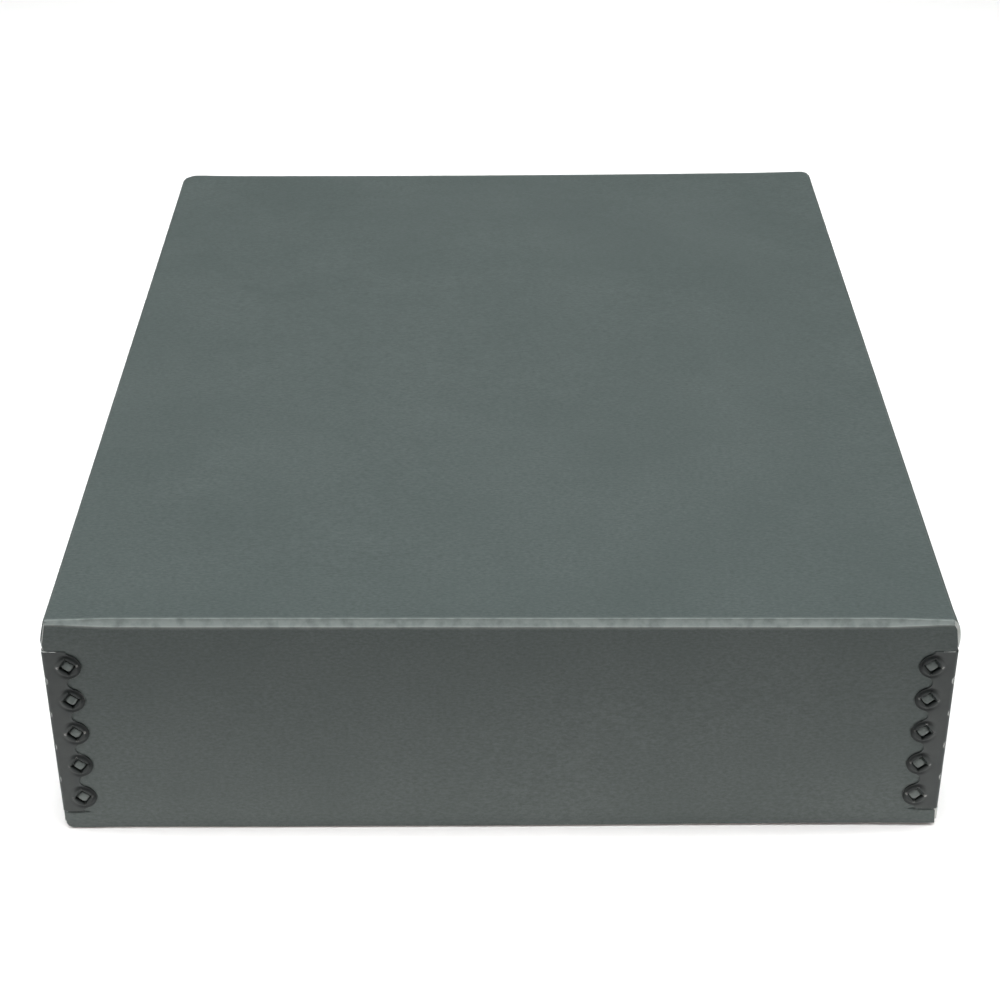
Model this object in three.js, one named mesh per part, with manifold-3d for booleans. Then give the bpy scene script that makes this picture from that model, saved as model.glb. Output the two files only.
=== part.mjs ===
// Metal-edge archival box: a tray and a full-depth lift-off lid, each one scored and folded blank of solid
// board, held at its four corners by pronged metal stays that are clinched through the board.
// Millimetres, +Z up. The origin is the middle of the base, on the surface that the box stands on.
// The front is -Y, one of the two short walls.

import * as THREE from "three";
import { mergeVertices } from "three/addons/utils/BufferGeometryUtils.js";
import Module from "manifold-3d";

const wasm = await Module();
wasm.setup();

// The lid, measured outside its board.
const LID_WIDTH = 279.4; // X
const LID_LENGTH = 355.6; // Y
const LID_HEIGHT = 79.4; // free edge of the walls to the top face

// The board and its folds.
const BOARD = 1.5; // thickness
const FOLD_LEG = 2.3; // leg of the flat that a double score leaves along the outside of a fold
const FOLD_EASE = 0.6; // where that flat eases into the panels beside it
const BEAD_LEG = 1.6; // leg of the bead that the score raises along the inside of a fold
const CORNER_STEP = 1.1; // the front and back walls stop this far short of the outer corner
const CORNER_GAP = 0.15; // the side walls butt against the front and back walls with this gap
const CORNER_CRUSH = 1.0; // how far each corner of the panel is knocked in

// How the lid goes over the tray.
const WALL_CLEARANCE = 1.6; // lid wall to tray wall, on each side
const TRAY_HEIGHT = 78.2;
const LID_REST_GAP = 0.4; // top of the tray walls to the underside of the lid

// The metal stays.
const STAY = 0.35; // sheet thickness
const STAY_GAP = 0.05; // sheet to board
const STAY_BEND = 0.8; // inside radius of the corner bend
const STAY_LENGTH = 62.2;
const STAY_CENTRE = 42.0; // middle of a stay, from the outer face of the panel
const PITCH = 12.7; // from one lobe to the next
const LOBES = 5;
const LOBE_SET = 6.4; // centre of a lobe, from the corner
const LOBE_RADIUS = 4.5;
const WAIST_RADIUS = 2.2; // the hollow between two lobes
const FOLD_SLOT = 2.4; // length of the slot in the bend between two lobes
const FOLD_SLOT_RISE = -1.0; // its centre, from midway between the lobes
const FOLD_SLOT_REACH = 0.7; // how far it cuts into each leg

// Each lobe has a square hole, point up, whose four corners of metal are the prongs.
const HOLE_HALF = 2.3; // centre to the inner face of a prong
const PRONG_WIDTH = 2.4;
const PRONG_REACH = 0.65; // how far the clinched tip lies along the board
const PRONG_LIFT = 0.05; // clinched tip to board
const PRONG_CLEAR = 0.1; // slit in the board, round the prong

const ARC_STEPS = 3; // divisions of an outline's arc, which three.js doubles

// A closed geometry as a manifold-3d solid.
function solid(geometry) {
  const plain = geometry.clone();
  plain.deleteAttribute("normal");
  plain.deleteAttribute("uv");
  const merged = mergeVertices(plain, 1e-4);
  return new wasm.Manifold(
    new wasm.Mesh({
      numProp: 3,
      vertProperties: merged.attributes.position.array,
      triVerts: new Uint32Array(merged.index.array),
    }),
  );
}

// A manifold-3d solid as a flat-shaded geometry.
function geometryOf(made) {
  const { vertProperties, triVerts } = made.getMesh();
  const indexed = new THREE.BufferGeometry();
  indexed.setAttribute("position", new THREE.BufferAttribute(vertProperties, 3));
  indexed.setIndex(new THREE.BufferAttribute(triVerts, 1));
  const flat = indexed.toNonIndexed();
  flat.computeVertexNormals();
  return flat;
}

function joined(solids) {
  return solids.reduce((sum, next) => sum.add(next));
}

// A box between two corners, given in any order.
function boxBetween([x0, y0, z0], [x1, y1, z1]) {
  const geometry = new THREE.BoxGeometry(Math.abs(x1 - x0), Math.abs(y1 - y0), Math.abs(z1 - z0));
  return geometry.translate((x0 + x1) / 2, (y0 + y1) / 2, (z0 + z1) / 2);
}

// The same shape with its arcs divided into points, and no point repeated where two arcs meet.
function divided(shape) {
  const points = shape.getPoints(ARC_STEPS);
  return new THREE.Shape(points.filter((p, i) => p.distanceTo(points[(i + 1) % points.length]) > 1e-6));
}

// A shape drawn in the plane of two axes and extruded along the third, which is right x up.
function extruded(shape, depth, right, up, origin) {
  const geometry = new THREE.ExtrudeGeometry(divided(shape), { depth, bevelEnabled: false });
  const along = new THREE.Vector3().crossVectors(right, up);
  return geometry.applyMatrix4(new THREE.Matrix4().makeBasis(right, up, along).setPosition(origin));
}

function shapeOf(points) {
  return new THREE.Shape(points.map(([x, y]) => new THREE.Vector2(x, y)));
}

const X = new THREE.Vector3(1, 0, 0);
const Y = new THREE.Vector3(0, 1, 0);
const Z = new THREE.Vector3(0, 0, 1);
const LEFT = new THREE.Vector3(-1, 0, 0);

// Where the four corners are, and how far each is turned from the front right one.
function cornersOf(width, length) {
  const [x, y] = [width / 2, length / 2];
  return [
    { x, y: -y, turn: 0 },
    { x, y, turn: Math.PI / 2 },
    { x: -x, y, turn: Math.PI },
    { x: -x, y: -y, turn: -Math.PI / 2 },
  ];
}

// ---- the folded blank: a panel at z = 0 with four walls standing up from it ----

// Cross-section outside the board: a wall on each side, with the flat of the fold below it.
function outerOutline(half, height) {
  const ease = FOLD_EASE * Math.SQRT1_2;
  const side = [
    [half - FOLD_LEG - FOLD_EASE, 0],
    [half - FOLD_LEG + ease, ease],
    [half - ease, FOLD_LEG - ease],
    [half, FOLD_LEG + FOLD_EASE],
    [half, height],
  ];
  return shapeOf([...side, ...side.map(([u, z]) => [-u, z]).reverse()]);
}

// Cross-section of the hollow, with the bead of each fold, running out past the free edge.
function innerOutline(half, height) {
  const inner = half - BOARD;
  const side = [
    [inner - BEAD_LEG, BOARD],
    [inner, BOARD + BEAD_LEG],
    [inner, height + BOARD],
  ];
  return shapeOf([...side, ...side.map(([u, z]) => [-u, z]).reverse()]);
}

// The part that two outlines have in common, one swept along X and one along Y.
function crossed(outline, width, length, height) {
  const alongX = extruded(outline(length / 2, height), width, Y, Z, new THREE.Vector3(-width / 2, 0, 0));
  const alongY = extruded(outline(width / 2, height), length, X, Z, new THREE.Vector3(0, length / 2, 0));
  return solid(alongX).intersect(solid(alongY));
}

// What is missing at one upright corner: the step in front of the side wall's cut end, and the butt gap.
function cornerCut(sideX, sideY, width, length, height) {
  const start = FOLD_LEG + FOLD_EASE;
  const end = height + BOARD;
  const [x, y] = [width / 2, length / 2];
  const butt = y - BOARD - CORNER_GAP;
  const step = boxBetween(
    [sideX * (x - CORNER_STEP), sideY * butt, start],
    [sideX * (x + BOARD), sideY * (y + BOARD), end],
  );
  const gap = boxBetween(
    [sideX * (x - 2 * BOARD), sideY * butt, start],
    [sideX * (x - CORNER_STEP / 2), sideY * (y - BOARD), end],
  );
  return solid(step).add(solid(gap));
}

// A block whose face knocks in the corner where the panel and two folds meet.
function cornerCrush(sideX, sideY, width, length) {
  const out = new THREE.Vector3(sideX, sideY, -1).normalize();
  const vertex = new THREE.Vector3((sideX * width) / 2, (sideY * length) / 2, FOLD_LEG);
  const size = 4 * FOLD_LEG;
  const centre = vertex.addScaledVector(out, size / 2 - CORNER_CRUSH);
  const turn = new THREE.Quaternion().setFromUnitVectors(Z, out);
  const block = new THREE.BoxGeometry(size, size, size).applyQuaternion(turn);
  return solid(block.translate(centre.x, centre.y, centre.z));
}

function foldedBlank(width, length, height) {
  const shell = crossed(outerOutline, width, length, height).subtract(
    crossed(innerOutline, width, length, height),
  );
  const cuts = [];
  for (const { x, y, turn } of cornersOf(width, length)) {
    cuts.push(cornerCut(Math.sign(x), Math.sign(y), width, length, height));
    cuts.push(cornerCrush(Math.sign(x), Math.sign(y), width, length));
    const place = new THREE.Matrix4().makeRotationZ(turn).setPosition(x, y, STAY_CENTRE);
    cuts.push(...lobePlaces().map((lobe) => prongSlits(lobe.clone().premultiply(place))));
  }
  return shell.subtract(joined(cuts));
}

// ---- the metal stays: each is an angle round a corner, here the front right one, centred on z = 0 ----

const lobeHeights = Array.from({ length: LOBES }, (_, i) => (i - (LOBES - 1) / 2) * PITCH);

// A frame on each lobe of both legs, at the outer face of the sheet, with its Y pointing into the board.
function lobePlaces() {
  const face = STAY_GAP + STAY;
  return lobeHeights.flatMap((z) => [
    new THREE.Matrix4().setPosition(-LOBE_SET, -face, z),
    new THREE.Matrix4().makeRotationZ(Math.PI / 2).setPosition(face, LOBE_SET, z),
  ]);
}

// One leg, flat, drawn with the corner at u = 0 and the scalloped edge away from it.
function legShape() {
  const start = STAY_BEND - STAY_GAP;
  const reach = LOBE_RADIUS + WAIST_RADIUS;
  const tangent = Math.asin(PITCH / 2 / reach); // where a lobe runs into the hollow beside it
  const waistSet = LOBE_SET + reach * Math.cos(tangent);
  const overhang = STAY_LENGTH / 2 - lobeHeights[LOBES - 1];
  const cut = Math.asin((PITCH / 2 - overhang) / WAIST_RADIUS); // where the strip's end crosses a hollow
  const shape = new THREE.Shape();
  shape.moveTo(start, STAY_LENGTH / 2);
  shape.lineTo(start, -STAY_LENGTH / 2);
  lobeHeights.forEach((z, i) => {
    const first = i === 0 ? Math.PI - cut : Math.PI;
    const last = i === LOBES - 1 ? Math.PI + cut : Math.PI;
    shape.absarc(waistSet, z - PITCH / 2, WAIST_RADIUS, first, Math.PI - tangent, true);
    shape.absarc(LOBE_SET, z, LOBE_RADIUS, -tangent, tangent, false);
    shape.absarc(waistSet, z + PITCH / 2, WAIST_RADIUS, Math.PI + tangent, last, true);
  });
  return shape;
}

// A block through the sheet for the square hole in a lobe, in the lobe's frame.
function lobeHole() {
  const side = 2 * HOLE_HALF;
  return solid(new THREE.BoxGeometry(side, 4 * STAY, side).rotateY(Math.PI / 4));
}

// The bend between the legs, with a short straight run into each of them.
function bendShape() {
  const run = STAY_BEND / 4;
  const [cx, cy] = [STAY_GAP - STAY_BEND, STAY_BEND - STAY_GAP];
  const outer = STAY_BEND + STAY;
  const shape = new THREE.Shape();
  shape.moveTo(cx - run, cy - STAY_BEND);
  shape.lineTo(cx - run, cy - outer);
  shape.absarc(cx, cy, outer, -Math.PI / 2, 0, false);
  shape.lineTo(cx + outer, cy + run);
  shape.lineTo(cx + STAY_BEND, cy + run);
  shape.absarc(cx, cy, STAY_BEND, 0, -Math.PI / 2, true);
  return shape;
}

// One prong, in a lobe's frame: from the sheet through the board, its tip bent over behind it to a point.
function prong() {
  const behind = STAY + STAY_GAP + BOARD + PRONG_LIFT;
  const profile = shapeOf([
    [HOLE_HALF, 0],
    [HOLE_HALF + STAY, 0],
    [HOLE_HALF + STAY, behind],
    [HOLE_HALF + STAY + PRONG_REACH, behind],
    [HOLE_HALF, behind + STAY],
  ]);
  return solid(extruded(profile, PRONG_WIDTH, Z, Y, new THREE.Vector3(PRONG_WIDTH / 2, 0, 0)));
}

// The four directions in which a lobe's prongs lie, each as a turn about the lobe's own axis.
const prongTurns = [0, 1, 2, 3].map((i) => new THREE.Matrix4().makeRotationY(((i + 0.5) * Math.PI) / 2));

function placed(made, matrix) {
  return made.transform(matrix.elements);
}

function prongSlits(lobe) {
  const depth = STAY + STAY_GAP + BOARD;
  const half = PRONG_WIDTH / 2 + PRONG_CLEAR;
  const slit = boxBetween(
    [-half, -depth, HOLE_HALF - PRONG_CLEAR],
    [half, 2 * depth, HOLE_HALF + STAY + PRONG_CLEAR],
  );
  return placed(joined(prongTurns.map((turn) => placed(solid(slit), turn))), lobe);
}

function stay() {
  const half = STAY_LENGTH / 2;
  const face = STAY_GAP + STAY;
  const frontLeg = extruded(legShape(), STAY, LEFT, Z, new THREE.Vector3(0, -face, 0));
  const sideLeg = extruded(legShape(), STAY, Y, Z, new THREE.Vector3(STAY_GAP, 0, 0));
  const bend = extruded(bendShape(), STAY_LENGTH, X, Y, new THREE.Vector3(0, 0, -half));
  const slots = lobeHeights.slice(1).map((z) => {
    const middle = z - PITCH / 2 + FOLD_SLOT_RISE;
    return solid(
      boxBetween(
        [-FOLD_SLOT_REACH, FOLD_SLOT_REACH, middle - FOLD_SLOT / 2],
        [2 * face, -2 * face, middle + FOLD_SLOT / 2],
      ),
    );
  });
  const holes = lobePlaces().map((lobe) => placed(lobeHole(), lobe));
  const fourProngs = joined(prongTurns.map((turn) => placed(prong(), turn)));
  return joined([frontLeg, sideLeg, bend].map(solid))
    .subtract(joined([...slots, ...holes]))
    .add(joined(lobePlaces().map((lobe) => placed(fourProngs, lobe))));
}

// ---- the assembly ----

const boardFinish = new THREE.MeshStandardMaterial({ color: 0x4a504e, roughness: 0.62, metalness: 0 });
const stayFinish = new THREE.MeshStandardMaterial({ color: 0x3c4140, roughness: 0.42, metalness: 0.3 });

function named(name, geometry, material) {
  const mesh = new THREE.Mesh(geometry, material);
  mesh.name = name;
  return mesh;
}

// A blank and its four stays, as a tray. yRight is -1 for a half that will be turned over about X.
function boxHalf(prefix, width, length, height, yRight) {
  const half = new THREE.Group();
  half.add(named(prefix + "_board", geometryOf(foldedBlank(width, length, height)), boardFinish));
  for (const { x, y, turn } of cornersOf(width, length)) {
    const end = y * yRight < 0 ? "front" : "back";
    const side = x < 0 ? "left" : "right";
    const mesh = named(`${prefix}_stay_${end}_${side}`, stayGeometry, stayFinish);
    mesh.position.set(x, y, STAY_CENTRE);
    mesh.rotation.z = turn;
    half.add(mesh);
  }
  return half;
}

const stayGeometry = geometryOf(stay());
const inset = 2 * (BOARD + WALL_CLEARANCE);
const tray = boxHalf("tray", LID_WIDTH - inset, LID_LENGTH - inset, TRAY_HEIGHT, 1);

const lid = boxHalf("lid", LID_WIDTH, LID_LENGTH, LID_HEIGHT, -1);
lid.rotation.x = Math.PI;
lid.position.z = TRAY_HEIGHT + LID_REST_GAP + BOARD;

const box = new THREE.Group();
box.add(tray, lid);

export default box;
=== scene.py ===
import math

import bpy
import numpy as np
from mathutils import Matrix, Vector
from mathutils.geometry import delaunay_2d_cdt
from mathutils.kdtree import KDTree


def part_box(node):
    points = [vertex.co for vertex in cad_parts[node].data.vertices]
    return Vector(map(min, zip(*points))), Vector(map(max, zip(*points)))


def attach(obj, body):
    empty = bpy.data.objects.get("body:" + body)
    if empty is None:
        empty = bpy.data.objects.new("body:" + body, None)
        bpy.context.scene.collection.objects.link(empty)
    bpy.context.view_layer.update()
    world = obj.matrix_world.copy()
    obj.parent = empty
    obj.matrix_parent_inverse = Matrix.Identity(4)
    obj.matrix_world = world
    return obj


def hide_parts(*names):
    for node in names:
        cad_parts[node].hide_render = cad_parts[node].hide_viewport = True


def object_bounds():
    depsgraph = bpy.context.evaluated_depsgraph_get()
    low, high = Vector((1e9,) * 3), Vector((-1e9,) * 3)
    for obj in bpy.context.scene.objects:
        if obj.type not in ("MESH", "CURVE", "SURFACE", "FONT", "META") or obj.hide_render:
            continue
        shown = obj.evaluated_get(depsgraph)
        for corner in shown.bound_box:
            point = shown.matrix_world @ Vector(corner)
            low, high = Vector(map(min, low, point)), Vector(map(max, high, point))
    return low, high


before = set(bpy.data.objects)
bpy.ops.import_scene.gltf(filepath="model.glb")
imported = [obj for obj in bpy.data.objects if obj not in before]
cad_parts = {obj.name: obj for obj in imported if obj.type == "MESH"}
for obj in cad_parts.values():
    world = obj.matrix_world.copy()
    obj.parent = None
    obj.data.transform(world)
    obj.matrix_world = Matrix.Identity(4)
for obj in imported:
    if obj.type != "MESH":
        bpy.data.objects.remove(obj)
cad_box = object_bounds()

MM = 0.001

# Corners, as the signs of their x and y.
FRONT_LEFT, FRONT_RIGHT, BACK_LEFT, BACK_RIGHT = (-1, -1), (1, -1), (-1, 1), (1, 1)
CORNERS = (FRONT_LEFT, FRONT_RIGHT, BACK_LEFT, BACK_RIGHT)

# Sizes in millimetres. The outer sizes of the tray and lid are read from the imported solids.
BOARD = 1.5  # thickness
FOLD_LEG = 1.8  # leg of the flat along the front and back folds, at mid-length
SIDE_FOLD_LEG = 1.15  # the same along the side folds, which are tighter
FOLD_END_LEG = 0.95  # the same at the ends of every fold
FOLD_TAPER = 24.0  # how far from its ends a fold narrows
FOLD_RIDGE = 0.1  # height of the ridge at each side of a wide fold
FOLD_HOLLOW = 0.05  # depth of the hollow between the ridges
BEAD_LEG = 1.5  # the bead inside a fold
BUTT_GAP = 0.15  # between two walls at a corner
BOARD_RIM = 0.16  # rounding of the board's cut edges

STAY = 0.35  # thickness of the metal
STAY_RIM = 0.05  # rounding of its cut edges
STAY_GAP = 0.08  # between the metal and the board
STAY_BEND = 0.8  # inner radius of the bend
STAY_LENGTH = 62.2
STAY_CENTRE = 42.0  # the stay's middle, measured from the panel's outer plane
STAY_FOOT = STAY_CENTRE + STAY_LENGTH / 2
PITCH = 12.7  # from lobe to lobe
LOBES = 5
LOBE_SET = 6.4  # from the corner to the centres of the lobes
LOBE_RADIUS = 4.4
WAIST_RADIUS = 2.2
SLOT_HALF = (0.55, 1.1)  # half of a slot's size, round the bend and up it
SLOT_RISE = -1.0
SLIT_END = 3.0  # centre of a lobe to the end of each slit between the prongs
SLIT_EYE = 0.22  # radius of the round end of a slit
SLIT_HALF = 0.08  # half of a slit's width
PRONG_FOLD = 2.5  # centre of a lobe to where a prong begins to bend
PRONG_REACH = 3.9  # the prongs' slits lie within this radius
PRONG_BEND = 0.45  # radius of a prong's first bend, through the board
PRONG_STRAIGHT = 1.4
PRONG_CLINCH = 0.32  # radius of its second bend, inside the box
PRONG_PATH = 3.1  # length of a prong
DISH = 0.33  # how far a lobe is pressed in round its hole

PUNCH_TURN = math.radians(45 - 8)  # of the prongs, which are punched a little askew
PUNCH = (math.cos(PUNCH_TURN), math.sin(PUNCH_TURN))
LOBE_HEIGHTS = [(i - (LOBES - 1) / 2) * PITCH for i in range(LOBES)]


# ---------------------------------------------------------------- camera

# The camera is fitted to the box's visible corners, edges and lobes.
camera_data = bpy.data.cameras.new("camera")
camera_data.lens = 76.655
camera_data.sensor_width = 36.0
camera_data.clip_start = 0.05
camera_data.clip_end = 50.0
camera = bpy.data.objects.new("camera", camera_data)
camera.location = (-0.0033, -0.7129, 0.4448)
camera.rotation_euler = [math.radians(a) for a in (59.0063, -0.1553, -0.2217)]
bpy.context.scene.collection.objects.link(camera)
bpy.context.scene.camera = camera


# ---------------------------------------------------------------- sheets of material as meshes


def smooth(x, low, high):
    k = np.clip((np.asarray(x, float) - low) / (high - low), 0.0, 1.0)
    return k * k * (3.0 - 2.0 * k)


def bump(x, width):
    return np.exp(-((np.asarray(x, float) / width) ** 2))


def inside(points, loop):
    """Which points lie in a closed loop."""
    x, y = points[:, 0:1], points[:, 1:2]
    a, b = loop, np.roll(loop, -1, axis=0)
    crosses = (a[:, 1] > y) != (b[:, 1] > y)
    rise = np.where(b[:, 1] == a[:, 1], 1.0, b[:, 1] - a[:, 1])
    at = a[:, 0] + (y - a[:, 1]) / rise * (b[:, 0] - a[:, 0])
    return (np.sum(crosses & (x < at), axis=1) % 2).astype(bool)


def triangulated(loops, groups):
    """Points and triangles over the flat area inside the first loop and outside the others.
    groups are (points, least distance to a loop's points)."""
    edges = []
    points = []
    for loop in loops:
        first = len(points)
        points.extend(loop)
        edges.extend((first + i, first + (i + 1) % len(loop)) for i in range(len(loop)))
    tree = KDTree(len(points))
    for i, p in enumerate(points):
        tree.insert((p[0], p[1], 0.0), i)
    tree.balance()
    for group, clear in groups:
        points.extend(p for p in group if tree.find((p[0], p[1], 0.0))[2] > clear)
    made = delaunay_2d_cdt([Vector((p[0], p[1])) for p in points], edges, [], 0, 1e-5)
    flat = np.array([v[:] for v in made[0]])
    triangles = np.array(made[2])
    middles = flat[triangles].mean(axis=1)
    keep = inside(middles, np.array(loops[0]))
    for hole in loops[1:]:
        keep &= ~inside(middles, np.array(hole))
    triangles = triangles[keep]
    used = np.unique(triangles)
    number = np.full(len(flat), -1)
    number[used] = np.arange(len(used))
    return flat[used], number[triangles]


# Rows of vertices on a cut edge, as (depth, share of the rounding). Both faces have all of it.
RIM_ROWS = ((0.1, 0.35), (0.28, 0.0), (0.5, 0.0), (0.72, 0.0), (0.9, 0.35))
SHARP_ANGLE = math.radians(38)


def solid_sheet(flat, triangles, place, rim):
    """A flat triangulation as a closed sheet. place(flat, depth) gives positions for depths from 0,
    the outer face, to 1, the inner face. Returns vertices, faces, each vertex's place on the flat,
    and which vertices lie on a cut edge. The outer face's vertices come first."""
    directed = np.concatenate([triangles[:, pair] for pair in ([0, 1], [1, 2], [2, 0])])
    known = {(a, b) for a, b in directed}
    border = np.array([(a, b) for a, b in directed if (b, a) not in known])
    out = np.zeros_like(flat)
    along = flat[border[:, 1]] - flat[border[:, 0]]
    normal = np.stack([along[:, 1], -along[:, 0]], axis=1)
    normal /= np.linalg.norm(normal, axis=1, keepdims=True)
    np.add.at(out, border[:, 0], normal)
    np.add.at(out, border[:, 1], normal)
    length = np.linalg.norm(out, axis=1, keepdims=True)
    out = np.where(length > 0, out / np.maximum(length, 1e-9), 0.0)
    rows = np.unique(border)
    order = np.full(len(flat), -1)
    order[rows] = np.arange(len(rows))
    n, m = len(flat), len(rows)
    blocks = [place(flat - rim * out, np.zeros(n)), place(flat - rim * out, np.ones(n))]
    cut = [np.zeros(n), np.zeros(n)]
    for depth, inset in RIM_ROWS:
        blocks.append(place(flat[rows] - rim * inset * out[rows], np.full(m, depth)))
        cut.append(np.ones(m))
    rings = [lambda i: i]
    for k in range(len(RIM_ROWS)):
        rings.append(lambda i, k=k: 2 * n + k * m + order[i])
    rings.append(lambda i: i + n)
    faces = [tuple(t) for t in triangles] + [tuple(t[::-1] + n) for t in triangles]
    a, b = border[:, 0], border[:, 1]
    for upper, lower in zip(rings, rings[1:]):
        faces.extend(zip(upper(b), upper(a), lower(a), lower(b)))
    source = np.concatenate([flat, flat] + [flat[rows]] * len(RIM_ROWS))
    return np.concatenate(blocks), faces, source, np.concatenate(cut)


def mesh_object(name, vertices, faces, attributes, flipped, material):
    """An object from vertices in millimetres. A mirrored shape has its faces flipped."""
    mesh = bpy.data.meshes.new(name)
    if flipped:
        faces = [face[::-1] for face in faces]
    mesh.from_pydata(vertices * MM, [], [[int(i) for i in face] for face in faces])
    for key, values in attributes.items():
        data = mesh.attributes.new(key, "FLOAT", "POINT").data
        data.foreach_set("value", np.asarray(values, float))
    mesh.shade_smooth()
    mesh.set_sharp_from_angle(angle=SHARP_ANGLE)
    mesh.materials.append(material)
    made = bpy.data.objects.new(name, mesh)
    bpy.context.scene.collection.objects.link(made)
    return made


def spaced(a, b, step):
    """Even places from a to b, about a step apart."""
    return np.linspace(a, b, max(1, round(abs(b - a) / step)) + 1)


# ---------------------------------------------------------------- the folded boards


def fold_leg(from_end, axis):
    """Leg of the flat along a fold: axis 0 for the side folds, 1 for the front and back ones."""
    full = (SIDE_FOLD_LEG, FOLD_LEG)[axis]
    return FOLD_END_LEG + (full - FOLD_END_LEG) * smooth(from_end, 0.0, FOLD_TAPER)


def folded(q, leg, depth):
    """Across a fold: how far in from the wall's outer plane, and how far from the panel's outer
    plane. q is the flat distance past the fold, negative on the panel."""
    k = np.clip((q + leg) / (2 * leg), 0.0, 1.0)
    past = np.where(q > leg, q - leg, 0.0)
    short = np.where(q < -leg, -leg - q, 0.0)
    ridge = FOLD_RIDGE * (bump(q - leg, 0.3) + bump(q + leg, 0.3)) * smooth(leg, 1.0, FOLD_LEG)
    lift = (ridge - FOLD_HOLLOW * np.sin(math.pi * k)) * math.sqrt(0.5)
    outer = (leg * (1 - k) + short - lift, leg * k + past - lift)
    bead = BOARD + BEAD_LEG * smooth(leg, 0.9, FOLD_LEG) + 0.1
    turn = k * math.pi / 2
    inner_in = np.where(
        short > 0,
        leg + short + (bead - leg) * np.exp(-short / 2),
        bead - (bead - BOARD) * np.sin(turn),
    )
    inner_up = np.where(
        past > 0,
        leg + past + (bead - leg) * np.exp(-past / 2),
        bead - (bead - BOARD) * np.cos(turn),
    )
    return outer[0] + (inner_in - outer[0]) * depth, outer[1] + (inner_up - outer[1]) * depth


def waves(a, b, seed):
    """A slow random swell over a face, mostly between -1 and 1."""
    total = np.zeros_like(a)
    rng = np.random.default_rng(seed)
    for period in (210.0, 120.0, 75.0):
        for _ in range(3):
            turn, phase = rng.uniform(0, 2 * math.pi, 2)
            along = a * math.cos(turn) + b * math.sin(turn)
            total += np.sin(along * 2 * math.pi / period + phase) * period / 500
    return total


def dish(r):
    """How far a lobe is pressed in, at a distance from its centre."""
    sunk = 0.1 * smooth(r, 4.0, 4.4) * (1 - smooth(r, 4.8, 7.5))
    return DISH * bump(r - 3.7, 0.5) - 0.04 * bump(r - 2.9, 0.25) + sunk


def punch_axes(du, dv):
    """Along two neighbouring prongs of a lobe, from places measured off its centre."""
    return du * PUNCH[0] + dv * PUNCH[1], du * PUNCH[1] - dv * PUNCH[0]


# Points along a wall's end, close together above and below the stay.
EDGE_PLACES = np.concatenate(
    [np.arange(0.4, 15.0, 0.4), spaced(15.0, 71.8, 2.0), np.arange(72.1, 75.0, 0.3)]
)
HIDDEN = (11.6, 12.2, 72.0, 72.6)  # a stay hides the walls' ends between the middle two
FOLD_DENSE = 22.0  # a fold's rows of points are closer this near its ends
FIELD_STEP = 6.0  # between the points on the rest of the board
FOLD_CLEAR = 9.0  # least distance from those points to a fold
LOBE_CLEAR = 8.0  # and to the centre of a lobe
RACK_LIFT = 0.22  # rise of the askew back edge, as a share of its shift
SWELL = 0.2  # height of the slow waves in the board


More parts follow.
